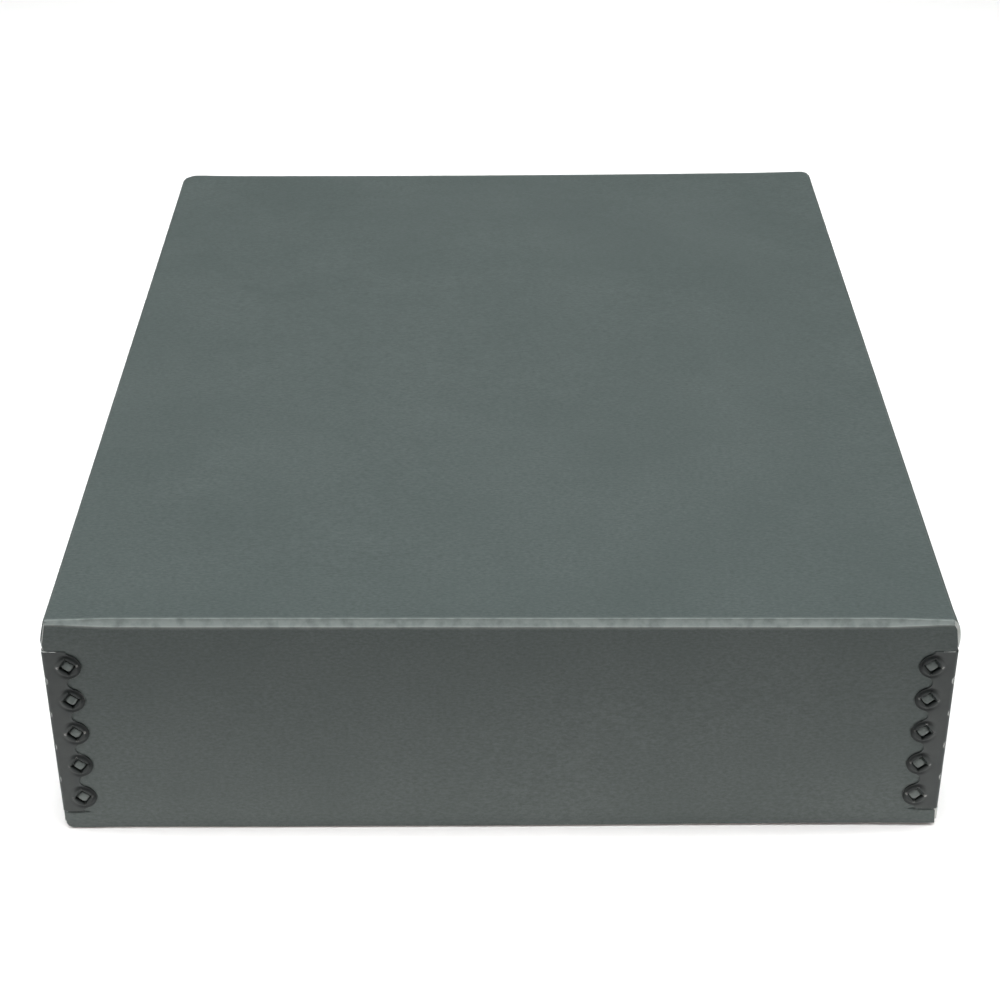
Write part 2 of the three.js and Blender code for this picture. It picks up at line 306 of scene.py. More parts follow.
class Blank:
    """A tray or lid, folded from one flat blank. On the blank, x and y are those of the box and the
    walls lie beyond the panel. up is 1 where the walls rise from the panel, and -1 where they hang.
    The shape's values, in millimetres:

    steps: how far the ends of the front and back walls are set in, by corner
    rounds: radius of the walls' free corners, by corner
    crush: how deep the panel's corners are crushed, by corner
    flares: how far the side walls stand out, by corner: just past the fold, short of the stay, at
        the stay's two ends, and at the free edge
    longer: how much longer the walls are than in the CAD
    uneven: how much longer still, by corner
    dark_ends: corners where a side wall's cut end is dark and the end beside it has a light line
    bare_edges: bare parts of a stay's short edges as (end, from, to), by corner
    shorter: how much more a wall's end is set in where no stay covers it, by corner
    askew: how far the back edge is shifted back, at the left, middle and right
    tuck: how far the front wall's right foot leans in
    pinch: how far the left and right folds are drawn in
    sag: how far the panel bulges into the box
    """

    def __init__(self, node, up, seed, **shape):
        low, high = (np.array(corner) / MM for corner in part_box(node))
        self.half = (high - low)[:2] / 2
        self.height = high[2] - low[2]
        self.panel_z = low[2] if up > 0 else high[2]
        self.up = up
        self.seed = seed
        for key, value in shape.items():
            setattr(self, key, value)
        self.lobes = np.array(list(self.lobe_places()))

    def lobe_places(self):
        """Centres of the stays' lobes on the flat blank."""
        hx, hy = self.half
        for sx in (-1, 1):
            for sy in (-1, 1):
                for z in LOBE_HEIGHTS:
                    yield sx * (hx - LOBE_SET), sy * (hy + STAY_CENTRE + z)
                    yield sx * (hx + STAY_CENTRE + z), sy * (hy - LOBE_SET)

    def outline(self):
        """The blank's edge as one loop of points."""
        hx, hy = self.half
        butt = hy - BOARD - BUTT_GAP
        corners = []
        for sx, sy in (FRONT_RIGHT, BACK_RIGHT, BACK_LEFT, FRONT_LEFT):
            end = sx * (hx - self.steps[sx, sy])
            r = self.rounds[sx, sy]
            three = [
                ((end, sy * (hy + self.height)), r),
                ((end, sy * butt), 0.0),
                ((sx * (hx + self.height), sy * butt), max(r - 0.4, 0.4)),
            ]
            corners.extend(three if sx * sy < 0 else three[::-1])
        points = []
        for (before, _), (corner, r), (after, r_after) in zip(
            corners[-1:] + corners[:-1], corners, corners[1:] + corners[:1]
        ):
            before, corner, after = (np.array(p) for p in (before, corner, after))
            length = np.linalg.norm(after - corner)
            on = (after - corner) / length
            back = (before - corner) / np.linalg.norm(before - corner)
            if r > 0:
                turn = np.linspace(0, math.pi / 2, 3 + round(2 * r))[:, None]
                arc = r * (on * np.cos(turn) + back * np.sin(turn))
                points.extend(corner + r * (back + on) - arc)
            else:
                points.append(corner)
            if r == 0:
                places = np.append(EDGE_PLACES, length - r_after)
            elif r_after == 0:
                places = np.append(EDGE_PLACES, length - r)
                places = length - places[::-1]
            else:
                places = spaced(r, length - r_after, 2.0)[1:-1]
            points.extend(corner + on * t for t in places)
        return self.lapped(np.array(points))

    def short(self, flat, down):
        """How much more the end of a front or back wall is set in, most of all above its stay."""
        at = zip(np.sign(flat[:, 0]), np.sign(flat[:, 1]))
        most = np.array([self.shorter.get(corner, 0.0) for corner in at])
        marks = [0.0, 1.6, 3.5, 10.9, 11.6, 72.6, 73.2]
        return most * np.interp(down, marks, [0, 1, 1, 0.25, 0, 0, 0.3])

    def lapped(self, loop):
        """Under a stay, a side wall's end comes forward over the end of the front or back wall."""
        q = np.abs(loop) - self.half
        under = smooth(q, *HIDDEN[:2]) * (1 - smooth(q, *HIDDEN[2:]))
        side = (q[:, 0] > 5) & (q[:, 1] > -2.5)
        end = (q[:, 1] > 0.3) & (q[:, 0] > -2.5)
        out_y = np.abs(loop[:, 1]) + under[:, 0] * (BOARD + BUTT_GAP - 0.12)
        inner_x = self.half[0] - BOARD - BUTT_GAP
        to_x = np.abs(loop[:, 0]) + under[:, 1] * (inner_x - np.abs(loop[:, 0]))
        to_x -= self.short(loop, q[:, 1])
        x = np.where(end, np.sign(loop[:, 0]) * to_x, loop[:, 0])
        y = np.where(side, np.sign(loop[:, 1]) * out_y, loop[:, 1])
        return np.stack([x, y], axis=1)

    def end_points(self):
        """Points along the ends of the front and back walls, past both ends of the stays."""
        hx, hy = self.half
        points = []
        for (sx, sy), set_in in self.steps.items():
            set_in += self.shorter.get((sx, sy), 0.0)
            above = (hx - set_in - np.array([0.14, 0.35, 0.8]), np.arange(0.6, 11.6, 0.4))
            foot = STAY_FOOT + np.array([-0.2, 0.05, 0.3, 0.55, 0.9])
            below = (hx - np.arange(0.8, 9.5, 0.7), foot)
            for across, down in (above, below):
                x, y = np.meshgrid(across, hy + down)
                points.append(np.stack([sx * x.ravel(), sy * y.ravel()], axis=1))
        return np.concatenate(points)

    def lobe_points(self):
        """A slanted grid and rings round the centre of each lobe."""
        marks = [0, 0.7, 1.2, 1.38, 1.54, 1.7, 2.15, 2.3, 2.5, 2.8, 3.1]
        grid = np.array([-g for g in marks[:0:-1]] + marks)
        a, b = (g.ravel() * math.sqrt(0.5) for g in np.meshgrid(grid, grid))
        parts = [np.stack([a - b, a + b], axis=1)]
        for r in (4.7, 5.2, 5.9, 6.7):
            turn = np.arange(0, 2 * math.pi, 0.6 / r)
            parts.append(r * np.stack([np.cos(turn), np.sin(turn)], axis=1))
        lobe = np.concatenate(parts)
        return np.concatenate([lobe + centre for centre in self.lobes])

    def fold_points(self):
        """Rows of points across each fold, spread by the fold's leg."""
        ratios = np.array([0, 0.35, 0.7, 0.88, 1, 1.13, 1.3, 1.7, 2.4, 3.4])
        ratios = np.concatenate([-ratios[:0:-1], ratios])
        rows = []
        for across in (0, 1):
            run = self.half[1 - across]
            close = spaced(0, FOLD_DENSE, 1.0)
            middle = spaced(FOLD_DENSE - run, run - FOLD_DENSE, 2.5)[1:-1]
            s = np.concatenate([close - run, middle, run - close[::-1]])
            q = fold_leg(run - np.abs(s), across)[:, None] * ratios
            for side in (-1, 1):
                pair = [side * (self.half[across] + q), np.broadcast_to(s[:, None], q.shape)]
                rows.append(np.stack(pair[::-1] if across else pair, axis=-1).reshape(-1, 2))
        return np.concatenate(rows)

    def field_points(self):
        """Loose points over the rest of the board."""
        hx, hy = self.half
        far = max(self.half) + self.height
        gx, gy = np.meshgrid(
            np.arange(-far, far, FIELD_STEP), np.arange(-far, far, FIELD_STEP * 0.866)
        )
        gx[::2] += FIELD_STEP / 2
        rng = np.random.default_rng(self.seed)
        field = np.stack([gx.ravel(), gy.ravel()], axis=1) + rng.uniform(-0.4, 0.4, (gx.size, 2))
        off = np.abs(np.abs(field) - self.half)
        clear = (off[:, 0] > FOLD_CLEAR) | (np.abs(field[:, 1]) > hy)
        clear &= (off[:, 1] > FOLD_CLEAR) | (np.abs(field[:, 0]) > hx)
        to_lobes = np.linalg.norm(field[:, None] - self.lobes[None], axis=2)
        clear &= to_lobes.min(axis=1) > LOBE_CLEAR
        return field[clear]

    def interior(self):
        """Groups of points inside the outline, as (points, least distance to the outline's)."""
        return [
            (self.end_points(), 0.12),
            (self.lobe_points(), 0.2),
            (self.fold_points(), 0.35),
            (self.field_points(), 1.5),
        ]

    def bent(self, flat, depth):
        """The flat blank folded up, as x, y and the height above the panel's outer plane."""
        hx, hy = self.half
        x, y = np.abs(flat[:, 0]), np.abs(flat[:, 1])
        qx, qy = x - hx, y - hy
        in_x, up_x = folded(qx, fold_leg(np.maximum(-qy, 0.0), 0), depth)
        in_y, up_y = folded(qy, fold_leg(np.maximum(-qx, 0.0), 1), depth)
        wx = np.where(qy > 0, 0.0, np.where(qx > 0, 1.0, smooth(-qy, 0.0, 2.0)))
        wy = np.where(qx > 0, 0.0, np.where(qy > 0, 1.0, smooth(-qx, 0.0, 2.0)))
        level = BOARD * depth
        px = x + (hx - in_x - x) * wx
        py = y + (hy - in_y - y) * wy
        z = level + (up_x - level) * wx + (up_y - level) * wy
        return np.stack([px * np.sign(flat[:, 0]), py * np.sign(flat[:, 1]), z], axis=1)

    def swell(self, flat):
        """Slow waves in the panel and the walls, which fade towards the folds and the stays."""
        sign = np.sign(flat)
        q = np.abs(flat) - self.half
        move = np.zeros((len(flat), 3))
        panel = smooth(np.minimum(-q[:, 0], -q[:, 1]), 3.0, 45.0)
        move[:, 2] = panel * (SWELL * waves(flat[:, 0], flat[:, 1], self.seed + 1) + self.sag)
        pinch = np.where(flat[:, 0] > 0, *self.pinch[::-1])
        near_fold = smooth(q[:, 0], -25.0, 0.0), 1 - smooth(q[:, 0], 0.0, 6.0)
        move[:, 0] -= sign[:, 0] * pinch * near_fold[0] * near_fold[1]
        for axis in (0, 1):
            on = smooth(q[:, axis], 3.0, 30.0) * smooth(-q[:, 1 - axis], 12.0, 60.0)
            rise = SWELL * waves(flat[:, 0], flat[:, 1], self.seed + 2 + axis) - 0.1
            move[:, axis] += on * sign[:, axis] * rise
        return move

    def lean(self, sx, sy, height, past_stay):
        """How far the side wall stands out at a corner, at a height above the panel's plane. Past
        the ends of the stay, only the board does."""
        near, top, stay_top, stay_foot, foot = self.flares[sx, sy]
        if past_stay:
            marks = [0.9, 2.9, 8.0, 10.7, 10.9, 73.1, 73.8]
            return np.interp(height, marks, [0, near, top, 0.82 * top, stay_top, stay_foot, foot])
        return np.interp(height, [11.0, 73.0], [stay_top, stay_foot])

    def flare(self, flat):
        """The walls stand a little proud at the corners, where only the stays hold them."""
        q = np.abs(flat) - self.half
        move = np.zeros((len(flat), 3))
        foot = smooth(np.maximum(q[:, 0], q[:, 1]), 70.0, self.height)
        reach = np.clip(np.abs(flat) / self.half, 0, 1).prod(axis=1)
        move[:, 2] += self.longer * foot
        for sx, sy in self.flares:
            here = (np.sign(flat[:, 0]) == sx) & (np.sign(flat[:, 1]) == sy)
            side = here & (q[:, 0] > 0)
            fade = bump(np.maximum(-q[:, 1] - 1.5, 0), 11.0) * 0.6 + bump(q[:, 1], 40.0) * 0.4
            move[:, 0] += np.where(side, sx * self.lean(sx, sy, q[:, 0], True) * fade, 0.0)
            end = here & (q[:, 1] > 0)
            bare = np.interp(q[:, 1], [0.0, 10.3, 11.0, 73.1, 73.6], [1, 1, 0, 0, 1])
            fade = bare * bump(np.maximum(-q[:, 0] - 0.8, 0), 5.0)
            move[:, 0] += np.where(end, sx * self.lean(sx, sy, q[:, 1], True) * fade, 0.0)
            marks = [3.0, 8.0, 10.6, 11.2, 72.9, 73.6]
            proud = np.interp(q[:, 1], marks, [0, 0.3, 0.35, 0, 0, 0.35])
            fade = bump(np.maximum(-q[:, 0] - 1.5, 0), 11.0)
            move[:, 1] += np.where(end, sy * proud * fade, 0.0)
            move[:, 2] += np.where(here, reach * self.uneven[sx, sy] * foot, 0.0)
        return move

    def racked(self, p):
        """The box is a little out of square: its back edge is askew, and the front wall leans in at
        its right foot."""
        hx, hy = self.half
        across = np.clip(p[:, 0] / hx, -1, 1)
        back = np.clip((p[:, 1] + hy) / (2 * hy), 0, 1)
        high = np.clip(p[:, 2] * MM / cad_box[1][2], 0, 1)
        left, middle, right = self.askew
        shift = middle + (right - left) / 2 * across + ((right + left) / 2 - middle) * across**2
        shift *= back
        tuck = self.tuck * (1 - high) * np.clip((across + 0.5) / 1.5, 0, 1) * (1 - back)
        return p + np.stack([0 * shift, shift + tuck, RACK_LIFT * shift * high], axis=1)

    def lobe_frame(self, flat):
        """Places measured from the nearest lobe's centre, away from the corner and away from the
        panel, with that centre."""
        near = flat[:, None] - self.lobes[None]
        nearest = np.argmin((near**2).sum(axis=2), axis=1)
        d = near[np.arange(len(flat)), nearest]
        at = self.lobes[nearest]
        on_end = (np.abs(at[:, 1]) > self.half[1])[:, None]
        side = np.sign(at)
        d = np.where(on_end, d * [-1, 1] * side, d[:, ::-1] * [-1, 1] * side[:, ::-1])
        return d, at

    def plugs(self, flat):
        """The board showing in the holes between the prongs, lightened there as a painted
        highlight.
        """
        d, _ = self.lobe_frame(flat)
        a, b = punch_axes(d[:, 0], d[:, 1])
        return 0.24 * (1 - smooth(np.maximum(np.abs(a), np.abs(b)), 1.4, 1.7))

    def relief(self, flat):
        """How far the board's outer face is pressed in under the lobes, round the prongs and along
        the foot of each stay. Between the prongs it stands out."""
        d, at = self.lobe_frame(flat)
        r = np.linalg.norm(d, axis=1)
        a, b = punch_axes(d[:, 0], d[:, 1])
        m = (a**4 + b**4) ** (1 / 4)
        plug = np.where(at[:, 0] < 0, 1.6, 1.68)
        slit = smooth(m, plug - 0.1, plug + 0.1) * (1 - smooth(m, 2.2, 2.4))
        q = np.abs(flat) - self.half
        crease = 0.6 * bump(q[:, 1] - STAY_FOOT - 0.3, 0.25)
        crease *= smooth(-q[:, 0], 0.5, 1.5) * (1 - smooth(-q[:, 0], 7.0, 9.0))
        pressed = np.maximum(dish(r), 0.0) + crease
        return np.where(m < 2.3, 0.9 * slit - 0.4 * (1 - smooth(m, 0.9, 1.55)), pressed)

    def place(self, flat, depth):
        """Where points of the flat blank come to lie in the box."""
        p = self.bent(flat, depth)
        outer = self.bent(flat, np.zeros(len(flat)))
        p += self.swell(flat) + self.flare(flat)
        q = np.abs(flat) - self.half
        sign = np.sign(flat)
        press = self.relief(flat) * (1 - depth)
        for axis in (0, 1):
            p[:, axis] -= np.where(q[:, axis] > 5, sign[:, axis] * press, 0.0)
        for (sx, sy), crush in self.crush.items():
            out = np.array([sx, sy, -1.0]) / math.sqrt(3)
            over = (outer - np.array([sx * self.half[0], sy * self.half[1], 0.0])) @ out + crush
            soft = 0.12 + 0.16 * crush
            p -= out * (np.logaddexp(0.0, over / soft) * soft)[:, None]
        p[:, 2] = self.panel_z + self.up * p[:, 2]
        return self.racked(p)

    def core_shown(self, source, q):
        """How light the core is along the cut edges. Some are nearly as dark as the faces."""
        shown = np.ones(len(source))
        marks = [10.8, 11.2, 70.0, 70.4]
        for corner in self.dark_ends:
            here = (np.sign(source) == corner).all(axis=1) & (q[:, 0] > 0.3)
            shown[here] = np.interp(q[here, 0], marks, [0.32, 0.45, 0.45, 0.1])
        return shown

    def light_end_line(self, flat):
        """A light line down the end of the front wall above some of the stays."""
        q = np.abs(flat) - self.half
        line = np.zeros(len(flat))
        for corner in self.dark_ends:
            here = (np.sign(flat) == corner).all(axis=1)
            here &= (q[:, 0] > -self.steps[corner] - 0.2) & (q[:, 0] < 0.2)
            line[here & (q[:, 1] > 0.8) & (q[:, 1] < 11.3)] = 1.0
        return line

    def made(self, name, body, node, material):
        """The board as a piece that rides on a body in the place of a CAD node."""
        flat, triangles = triangulated([self.outline()], self.interior())
        vertices, faces, source, cut = solid_sheet(flat, triangles, self.place, BOARD_RIM)
        q = np.abs(source) - self.half
        past = np.abs(q[:, 1]) - fold_leg(np.maximum(-q[:, 0], 0.0), 1)
        # Along the folds the board is lighter: partly wear of the stretched fibres, partly a
        # painted highlight on the fold band. In the holes between the prongs it is a painted
        # highlight.
        wear_and_highlight = np.maximum(bump(past, 0.45), 0.75 * (1 - smooth(past, -0.2, 0.2)))
        wear_and_highlight = np.maximum(wear_and_highlight, self.plugs(source))
        wear_and_highlight[len(flat) : 2 * len(flat)] = 0.0  # none on the inner face
        cut = cut * self.core_shown(source, q)
        cut[: len(flat)] = self.light_end_line(flat)
        marks = {"cut": cut, "wear_and_highlight": wear_and_highlight}
        piece = mesh_object(name, vertices, faces, marks, self.up > 0, material)
        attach(piece, body)
        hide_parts(node)


# ---------------------------------------------------------------- the metal stays


def stay_outline():
    """Half of the strip's edge, from one end to the other, as (from the corner, height)."""
    reach = LOBE_RADIUS + WAIST_RADIUS
    tangent = math.asin(PITCH / 2 / reach)
    waist = LOBE_SET + reach * math.cos(tangent)
    end = STAY_LENGTH / 2
    points = []
    for z in LOBE_HEIGHTS:
        for centre, height, radius, start, stop, count in (
            (waist, z - PITCH / 2, WAIST_RADIUS, math.pi, math.pi - tangent, 9),
            (LOBE_SET, z, LOBE_RADIUS, -tangent, tangent, 26),
            (waist, z + PITCH / 2, WAIST_RADIUS, math.pi + tangent, math.pi, 9),
        ):
            for t in np.linspace(start, stop, count)[:-1]:
                points.append((centre + radius * math.cos(t), height + radius * math.sin(t)))
    points = [p for p in points if abs(p[1]) < end - 0.15]
    low = (LOBE_SET + 0.05, -end)
    return np.array([low] + points + [(low[0], end)])


BEND_MID = STAY_BEND + STAY / 2
BEND_RUN = BEND_MID * math.pi / 4  # half of the bend, along the sheet's middle
LEG_START = STAY_BEND - STAY_GAP
FLAT_LOBE = LOBE_SET - LEG_START + BEND_RUN


def prong_path(run, lift):
    """Along a prong: how far from the lobe's centre and how deep, for a layer lifted off the middle
    one."""
    first = PRONG_BEND * math.pi / 2
    second = PRONG_CLINCH * math.pi / 2
    turn = np.clip(run / first, 0, 1) * math.pi / 2
    m = PRONG_FOLD - PRONG_BEND * np.sin(turn)
    deep = PRONG_BEND * (1 - np.cos(turn))
    deep += np.clip(run - first, 0, PRONG_STRAIGHT)
    clinch = np.clip((run - first - PRONG_STRAIGHT) / second, 0, 1) * math.pi / 2
    m += PRONG_CLINCH * (1 - np.cos(clinch))
    deep += PRONG_CLINCH * np.sin(clinch)
    m += np.maximum(run - first - PRONG_STRAIGHT - second, 0)
    turn += clinch
    return m - lift * np.sin(turn), deep - lift * np.cos(turn)


def stay_place(flat, depth):
    """Bends the flat strip round the corner, and its prongs through the board. The corner is at
    x = y = 0."""
    lift = STAY * (0.5 - depth)
    side = np.sign(flat[:, 0])
    s = np.abs(flat[:, 0])
    v = flat[:, 1]
    z = v.copy()
    index = np.clip(np.round(v / PITCH + (LOBES - 1) / 2), 0, LOBES - 1)
    du = s - FLAT_LOBE
    dv = v - (index - (LOBES - 1) / 2) * PITCH
    a, b = punch_axes(du, dv)
    r = np.hypot(du, dv)
    m = np.maximum(np.abs(a), np.abs(b))
    inside_hole = (m < PRONG_FOLD) & (r < PRONG_REACH)
    run = np.maximum(PRONG_FOLD - m, 0) * PRONG_PATH / PRONG_FOLD
    new_m, deep = prong_path(run, lift)
    first = np.abs(a) >= np.abs(b)
    a = np.where(inside_hole & first, np.sign(a) * new_m, a)
    b = np.where(inside_hole & ~first, np.sign(b) * new_m, b)
    du = np.where(inside_hole, a * PUNCH[0] + b * PUNCH[1], du)
    dv2 = np.where(inside_hole, a * PUNCH[1] - b * PUNCH[0], dv)
    z = np.where(inside_hole, z + dv2 - dv, z)
    press = dish(np.where(inside_hole, PRONG_FOLD + 0.2, r)) * (0.6 + 0.4 * smooth(du, -3.5, 0.0))
    press *= smooth(s, BEND_RUN, BEND_RUN + 1.2)
    rise = np.where(inside_hole, -deep, lift) - press
    turn = np.clip(s / BEND_RUN, 0, 1) * math.pi / 4
    leg = LEG_START + FLAT_LOBE + du - BEND_RUN
    on_leg = s > BEND_RUN
    centre = STAY_GAP - STAY_BEND
    radius = BEND_MID + lift
    angle = math.pi / 4 - turn
    outward = STAY_GAP + STAY / 2 + rise
    x_side = np.where(on_leg, outward, centre + radius * np.cos(angle))
    y_side = np.where(on_leg, leg, -centre - radius * np.sin(angle))
    x = np.where(side >= 0, x_side, -y_side)
    y = np.where(side >= 0, y_side, -x_side)
    return np.stack([x, y, z], axis=1)


def direction(side, turn):
    """A direction at a lobe, mirrored where side is -1."""
    return np.array([side * math.cos(turn), math.sin(turn)])


def slit_cross(centre, side):
    """The edge of the four slits between the prongs, each with a round end."""
    cross = []
    for k in range(4):
        along = direction(side, PUNCH_TURN + math.pi / 4 + k * math.pi / 2)
        across = side * np.array([-along[1], along[0]])
        steps = np.arange(0.4, SLIT_END - 0.3, 0.28)
        cross.append(centre + SLIT_HALF * (along - across))
        cross.extend(centre + t * along - SLIT_HALF * across for t in steps)
        for t in np.linspace(-2.6, 2.6, 9):
            ahead = SLIT_END + SLIT_EYE * math.cos(t)
            cross.append(centre + ahead * along + SLIT_EYE * math.sin(t) * across)
        cross.extend(centre + t * along + SLIT_HALF * across for t in steps[::-1])
    return np.array(cross)


def prong_points(centre, side):
    """Rows of points across the four prongs."""
    for back in (0, 0.1, 0.2, 0.3, 0.4, 0.5, 0.6, 1.0, 1.4, 1.52, 1.64, 1.76, 1.88, 2.05):
        m = PRONG_FOLD - back
        lateral = spaced(-m, m, 0.35)[1:-1] if m > 0.3 else np.array([0.0])
        for k in range(4):
            along = direction(side, PUNCH_TURN + k * math.pi / 2)
            across = np.array([-along[1], along[0]])
            for t in lateral:
                yield centre + m * along + t * across


def ring_points(centre, side):
    """Rings of points round the prongs."""
    for r in (2.8, 3.0, 3.3, 3.6, 3.9, 4.2, 4.5, 4.9, 5.4):
        for t in np.arange(0, 2 * math.pi, 0.3 / r):
            point = centre + r * np.array([math.cos(t), math.sin(t)])
            off = point - centre
            if max(map(abs, punch_axes(side * off[0], off[1]))) > PRONG_FOLD + 0.12:
                yield point


def stay_shape():
    """The flat strip: its edge and holes, and groups of points as for triangulated."""
    edge = stay_outline()
    edge[:, 0] += BEND_RUN - LEG_START
    ends = spaced(-edge[0, 0], edge[0, 0], 0.5)[1:-1]
    low = [(u, -STAY_LENGTH / 2) for u in ends]
    high = [(-u, STAY_LENGTH / 2) for u in ends]
    loops = [low + list(edge) + high + [(-u, v) for u, v in edge[::-1]]]
    points = []
    for z in LOBE_HEIGHTS:
        for side in (-1, 1):
            centre = np.array([side * FLAT_LOBE, z])
            loops.append(slit_cross(centre, side))
            points.extend(prong_points(centre, side))
            points.extend(ring_points(centre, side))
    for z in LOBE_HEIGHTS[1:]:
        middle = z - PITCH / 2 + SLOT_RISE
        turn = np.linspace(0, 2 * math.pi, 32, endpoint=False)
        lens = np.stack([np.cos(turn) * SLOT_HALF[0], np.sin(turn) * SLOT_HALF[1]], axis=1)
        loops.append(lens + np.array([0.0, middle]))
    bend = [(u, v) for u in spaced(-1.6, 1.6, 0.2) for v in spaced(-30.8, 30.8, 0.6)]
    return loops, [(points, 0.13), (bend, 0.25)]


stay_flat, stay_triangles = triangulated(*stay_shape())
stay_vertices, stay_faces, stay_source, stay_cut = solid_sheet(
    stay_flat, stay_triangles, stay_place, STAY_RIM
)


def stay_marks(seed, up, bare_edges):
    """Where a stay gets painted shade: in the hollows of its lobes, in its prong holes and on the
    side of each dish that faces away from the light. And where it is bare metal: round some
    slit ends and slots, and on some parts of its short edges."""
    u, v = np.abs(stay_source[:, 0]), stay_source[:, 1]
    rng = np.random.default_rng(seed)
    painted_shade = np.zeros(len(u))
    bare = np.zeros(len(u))
    for side in (-1, 1):
        on = np.sign(stay_source[:, 0]) == side
        for z in LOBE_HEIGHTS:
            du, dv = u - FLAT_LOBE, v - z
            r = np.hypot(du, dv)
            m = np.abs(punch_axes(du, dv)).max(axis=0)
            # Painted shade: the outer half of each lobe, the upper outer side of its dish, which
            # faces away from the light, and its prong holes are darkened.
            facing = (0.7 * du + up * dv) / np.maximum(r, 0.1)
            rim = 0.4 * smooth(r, 3.0, 3.4) * smooth(facing, -0.1, 0.9)
            hollow = 0.5 * smooth(du, -3.5, -0.5) + rim
            hollow = np.maximum(hollow * (1 - smooth(r, 4.35, 4.6)), 1 - smooth(m, 2.05, 2.3))
            painted_shade = np.where(on, np.maximum(painted_shade, hollow), painted_shade)
            wear = rng.choice([0.0, 0.2, 0.5, 1.0], 4) * [1.0, 0.3, 1.0, 0.5]
            for corner, shown in enumerate(wear):
                turn = PUNCH_TURN - math.pi / 4 + corner * math.pi / 2
                x, y = SLIT_END * math.cos(turn), SLIT_END * math.sin(turn)
                spot = shown * bump(np.hypot(du - x, dv - y), 0.3)
                bare = np.where(on, np.maximum(bare, spot), bare)
    flat_u = stay_source[:, 0]
    for end, low, high in bare_edges:
        line = np.where((end * v > STAY_LENGTH / 2 - 0.01) & (stay_cut > 0), 1.0, 0.0)
        line *= smooth(flat_u, low - 0.5, low) * (1 - smooth(flat_u, high, high + 0.5))
        bare = np.maximum(bare, line)
    for z in LOBE_HEIGHTS[1:]:
        rise = v - z + PITCH / 2 - SLOT_RISE
        lens = np.hypot(flat_u / SLOT_HALF[0], rise / SLOT_HALF[1])
        bare = np.maximum(bare, rng.uniform(0.0, 0.5) * (1 - smooth(lens, 1.0, 1.2)))
    return painted_shade, bare


# How many half turns take a stay from the front-right corner to each corner.
HALF_TURNS = {FRONT_RIGHT: 0.0, BACK_RIGHT: 0.5, BACK_LEFT: 1.0, FRONT_LEFT: -0.5}


def make_stays(blank, prefix, body, material):
    """The four stays of a tray or lid, as pieces that ride on a body."""
    for (sx, sy), half_turns in HALF_TURNS.items():
        turn = half_turns * math.pi
        c, s = math.cos(turn), math.sin(turn)
        x, y, z = stay_vertices.T
        moved = np.stack([c * x - s * y, s * x + c * y, z + STAY_CENTRE], axis=1)
        moved += np.array([sx * blank.half[0], sy * blank.half[1], 0.0])
        from_corner = blank.half[0] - np.abs(moved[:, 0])
        lean = blank.lean(sx, sy, moved[:, 2], False)
        moved[:, 0] += sx * lean * (1 - smooth(from_corner, 0.5, 3.5))
        moved[:, 2] = blank.panel_z + blank.up * moved[:, 2]
        moved = blank.racked(moved)
        place = ("front" if sy < 0 else "back") + "_" + ("left" if sx < 0 else "right")
        node = f"{prefix}_stay_{place}"
        bare_edges = blank.bare_edges.get((sx, sy), [])
        painted_shade, bare = stay_marks(blank.seed + round(2 * turn), blank.up, bare_edges)
        marks = {"cut": stay_cut, "painted_shade": painted_shade, "bare": bare}
        piece = mesh_object(node + "_fine", moved, stay_faces, marks, blank.up < 0, material)
        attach(piece, body)
        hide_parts(node)


# ---------------------------------------------------------------- materials


class Nodes:
    """A material's node tree, built one node at a time."""

    def __init__(self, name):
        self.material = bpy.data.materials.new(name)
        self.material.use_nodes = True
        self.tree = self.material.node_tree
        self.shader = self.tree.nodes["Principled BSDF"]

    def add(self, kind, settings=None, **sockets):
        node = self.tree.nodes.new(kind)
        for key, value in (settings or {}).items():
            setattr(node, key, value)
        for key, value in sockets.items():
            self.set(node.inputs[key.replace("_", " ")], value)
        return node

    def set(self, socket, value):
        if isinstance(value, bpy.types.NodeSocket):
            self.tree.links.new(value, socket)
        else:
            socket.default_value = value

    def noise(self, scale, detail=3.0, roughness=0.55, stretch=None):
        at = self.add("ShaderNodeTexCoord").outputs["Object"]
        if stretch:
            at = self.add("ShaderNodeMapping", Vector=at, Scale=stretch).outputs["Vector"]
        settings = {"Scale": scale, "Detail": detail, "Roughness": roughness}
        return self.add("ShaderNodeTexNoise", Vector=at, **settings).outputs["Fac"]

    def ranged(self, value, low, high, to_low=0.0, to_high=1.0):
        """A value's place between low and high, as a place between to_low and to_high."""
        node = self.add("ShaderNodeMapRange")
        for socket, number in zip(node.inputs, (value, low, high, to_low, to_high)):
            self.set(socket, number)
        return node.outputs["Result"]

    def math(self, operation, a, b):
        node = self.add("ShaderNodeMath", {"operation": operation})
        self.set(node.inputs[0], a)
        self.set(node.inputs[1], b)
        return node.outputs["Value"]

    def mix(self, factor, a, b):
        node = self.add("ShaderNodeMix", {"data_type": "RGBA"})
        for name, kind, value in (("Factor", "VALUE", factor), ("A", "RGBA", a), ("B", "RGBA", b)):
            socket = next(i for i in node.inputs if i.name == name and i.type == kind)
            self.set(socket, value)
        return next(o for o in node.outputs if o.type == "RGBA")

    def attribute(self, name):
        return self.add("ShaderNodeAttribute", {"attribute_name": name}).outputs["Fac"]

    def bump(self, height, distance, normal=None):
        node = self.add("ShaderNodeBump", Height=height, Distance=distance, Strength=1.0)
        if normal:
            self.set(node.inputs["Normal"], normal)
        return node.outputs["Normal"]


def rgb(r, g, b):
    return (r, g, b, 1.0)


